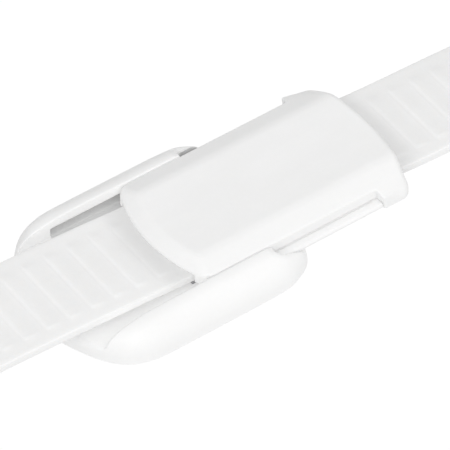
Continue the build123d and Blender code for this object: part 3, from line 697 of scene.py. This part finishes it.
def band_mesh(name, cad_name, rough, ribs, end, recess, pad, grooves, holes):
    """Band whose free end points to end * x; recess and pad are x ranges underneath."""
    low, high = cad_box(cad_name)
    steps = (*recess, *pad, *(g + d for g in grooves for d in (-GROOVE_HALF, GROOVE_HALF)))
    centre = end * (BAND_END - CAD_BAND_HALF)
    stations = band_stations(low[0], high[0], ribs, steps, centre, end)
    undersides = hermite(lower_edge(cad_name, rough), stations)
    past = np.abs(stations - centre) * ((stations - centre) * end > 0)
    halves = (np.sqrt(np.maximum(CAD_BAND_HALF ** 2 - past ** 2, 0.0025))
              * BAND_HALF / CAD_BAND_HALF)

    def under_lift(x, y):
        if abs(y) < GROOVE_Y and any(abs(x - groove) < GROOVE_HALF for groove in grooves):
            return GROOVE_DEPTH
        in_recess = recess[0] < x < recess[1] and RECESS_Y[0] < abs(y) < RECESS_Y[1]
        in_pad = bool(pad) and pad[0] < x < pad[1] and abs(y) < RECESS_Y[1]
        return RECESS_DEPTH if in_recess or in_pad else 0.0

    verts = []
    for x, bottom, half in zip(stations, undersides, halves):
        radius = min(BAND_EDGE_RADIUS, half * 0.6)
        rim = bottom + BAND_THICK - CROWN
        flank = half - radius
        squeeze = min(1.0, half / 6.6)

        def top(y):
            return rim + CROWN * (1 - (y / CAD_BAND_HALF) ** 2)

        # the +y side from the shoulder down round the edge
        side = [(min(y * squeeze, flank - 0.001), top(y * squeeze)) for y in SHOULDER_Y]
        side += [(flank + radius * math.sin(a), rim - radius + radius * math.cos(a))
                 for a in QUARTER]
        side += [(flank + radius * math.cos(a), bottom + radius - radius * math.sin(a))
                 for a in QUARTER]
        ring = [(y, top(y) + rib_height(x, y, ribs)) for y in TOP_Y * squeeze]
        ring += side
        ring += [(y, bottom + under_lift(x, y)) for y in UNDER_Y * squeeze]
        ring += [(-y, z) for y, z in reversed(side)]
        verts += [(x, y, z) for y, z in ring]

    size, last = len(ring), len(verts) - len(ring)
    faces = []
    for start in range(0, last, size):
        for j in range(size):
            a, b = start + j, start + (j + 1) % size
            faces.append((a, b, b + size, a + size))
    faces.append(tuple(range(size))[::-1])
    faces.append(tuple(range(last, last + size)))

    mesh = bpy.data.meshes.new(name)
    mesh.from_pydata([tuple(v) for v in np.array(verts) * MM], [], faces)
    mesh.update()
    band = add_object(name, mesh)
    mesh.polygons.foreach_set("use_smooth", [True] * len(mesh.polygons))
    bm = bmesh.new()
    bm.from_mesh(mesh)
    bmesh.ops.recalc_face_normals(bm, faces=bm.faces)
    bm.to_mesh(mesh)
    bm.free()
    for hole_x, hole_radius in holes:
        drill(band, hole_x, hole_radius)
    band.data.polygons.foreach_set("use_smooth", [True] * len(band.data.polygons))
    band.data.set_sharp_from_angle(angle=math.radians(38))
    return band


def drill(part, x, radius):
    """Cut an upright round hole on the centre line."""
    bm = bmesh.new()
    bmesh.ops.create_cone(bm, cap_ends=True, segments=64, radius1=radius * MM,
                          radius2=radius * MM, depth=8 * MM,
                          matrix=Matrix.Translation((x * MM, 0, 2 * MM)))
    mesh = bpy.data.meshes.new("cutter")
    bm.to_mesh(mesh)
    bm.free()
    cutter = add_object("cutter", mesh)
    hole = part.modifiers.new("hole", "BOOLEAN")
    hole.object = cutter
    hole.operation = "DIFFERENCE"
    hole.solver = "EXACT"
    depsgraph = bpy.context.evaluated_depsgraph_get()
    drilled = bpy.data.meshes.new_from_object(part.evaluated_get(depsgraph))
    part.modifiers.clear()
    old = part.data
    part.data = drilled
    bpy.data.meshes.remove(old)
    bpy.data.objects.remove(cutter)
    bpy.data.meshes.remove(mesh)


left_band = band_mesh(
    "band_left", "left_band", LEFT_ROUGH, end=-1,
    ribs=[-2.4 + RIB_PITCH * i for i in range(-17, 5)],
    recess=(-91.02, 14.62), pad=(-91.02, -77.48),
    grooves=[7.4 + RIB_PITCH * k for k in range(3)],
    holes=[(-81.0, 2.47), (-88.3, 2.47)])
stand_in(left_band, LEFT_BAND, "left_strap", "left_band")
right_band = band_mesh(
    "band_right", "right_band", RIGHT_ROUGH, end=1,
    ribs=[37.6 + RIB_PITCH * i for i in range(-5, 11)],
    recess=(17.38, 90.52), pad=(),
    grooves=[24.6 - RIB_PITCH * k for k in range(3)],
    holes=[(86.0, 1.23)])
stand_in(right_band, RIGHT_BAND, "right_strap", "right_band")

# ---------------------------------------------------------------- floor
bm = bmesh.new()
bmesh.ops.create_grid(bm, x_segments=8, y_segments=8, size=3.0)
floor_mesh = bpy.data.meshes.new("studio_floor")
bm.to_mesh(floor_mesh)
bm.free()
floor = add_object("studio_floor", floor_mesh)
floor.location = (0, 0, -0.0008)


def floor_material():
    """Even glow on the strap, plain white to the camera, clear when seen from underneath."""
    material, shader = new_material("floor_white")
    to_camera = shader.add("LightPath").outputs["Is Camera Ray"]
    onto_strap = shader.add("Emission", {"Strength": 0.80})
    seen = shader.add("Emission", {"Strength": 1.02})
    white = shader.add("MixShader", {"Fac": to_camera, 1: onto_strap.outputs[0],
                                     2: seen.outputs[0]})
    from_below = shader.add("NewGeometry").outputs["Backfacing"]
    hidden = shader.add("Math", {0: from_below, 1: to_camera}, operation="MULTIPLY")
    clear = shader.add("BsdfTransparent")
    final = shader.add("MixShader", {"Fac": hidden.outputs[0], 1: white.outputs[0],
                                     2: clear.outputs[0]})
    shader.feed(shader.output, {0: final.outputs[0]})
    return material


assign(floor, floor_material())


# ---------------------------------------------------------------- light
def soft_surround():
    """World light, brighter on the near (-y) side and dimmer on the far side."""
    travel = (0.17, 0.36, -0.60)    # the way the broad light travels
    gain, base, least = 1.0, 0.534, 0.05
    world = bpy.data.worlds.new("studio")
    bpy.context.scene.world = world
    shader = Shader(world, "OutputWorld")
    background = shader.add("Background", {"Color": (1, 1, 1, 1)})
    incoming = shader.add("NewGeometry").outputs["Incoming"]
    facing = shader.add("VectorMath", {0: incoming, 1: travel}, operation="DOT_PRODUCT")
    level = shader.add("Math", {0: facing.outputs["Value"], 1: gain, 2: base},
                       operation="MULTIPLY_ADD")
    strength = shader.add("Math", {0: level.outputs[0], 1: least}, operation="MAXIMUM")
    shader.feed(background, {"Strength": strength.outputs[0]})
    shader.feed(shader.output, {0: background.outputs[0]})


def look(thing, location, aim):
    thing.location = location
    thing.rotation_mode = "QUATERNION"
    thing.rotation_quaternion = (Vector(aim) - Vector(location)).to_track_quat("-Z", "Y")


soft_surround()
key = bpy.data.lights.new("key", "AREA")
key.shape = "RECTANGLE"
key.size, key.size_y = 0.55, 0.22
key.energy = 0.42
look(add_object("key", key), location=(-0.20, -0.60, 0.26), aim=(0, 0, 0))

# ---------------------------------------------------------------- camera
AZIMUTH, ELEVATION = math.radians(-35.94), math.radians(46.25)
TARGET = Vector((14.85, 0, 4.64)) * MM
DISTANCE = 723.34018
AIM_LEFT, AIM_DOWN = 1.965777, 3.498973     # aim point from the target, in the view's plane
back = Vector((math.sin(AZIMUTH) * math.cos(ELEVATION),
               -math.cos(AZIMUTH) * math.cos(ELEVATION), math.sin(ELEVATION)))
right = Vector((math.cos(AZIMUTH), math.sin(AZIMUTH), 0))
up = back.cross(right)
lens = bpy.data.cameras.new("camera")
lens.sensor_width = 36.0
lens.lens = 422.72
lens.clip_start, lens.clip_end = 0.05, 20.0
camera = add_object("camera", lens)
look(camera, location=TARGET + back * (DISTANCE * MM),
     aim=TARGET - right * (AIM_LEFT * MM) - up * (AIM_DOWN * MM))

scene = bpy.context.scene
scene.camera = camera
scene.view_settings.view_transform = "Standard"
scene.view_settings.look = "None"
scene.view_settings.exposure = 0.0
scene.view_settings.gamma = 1.0
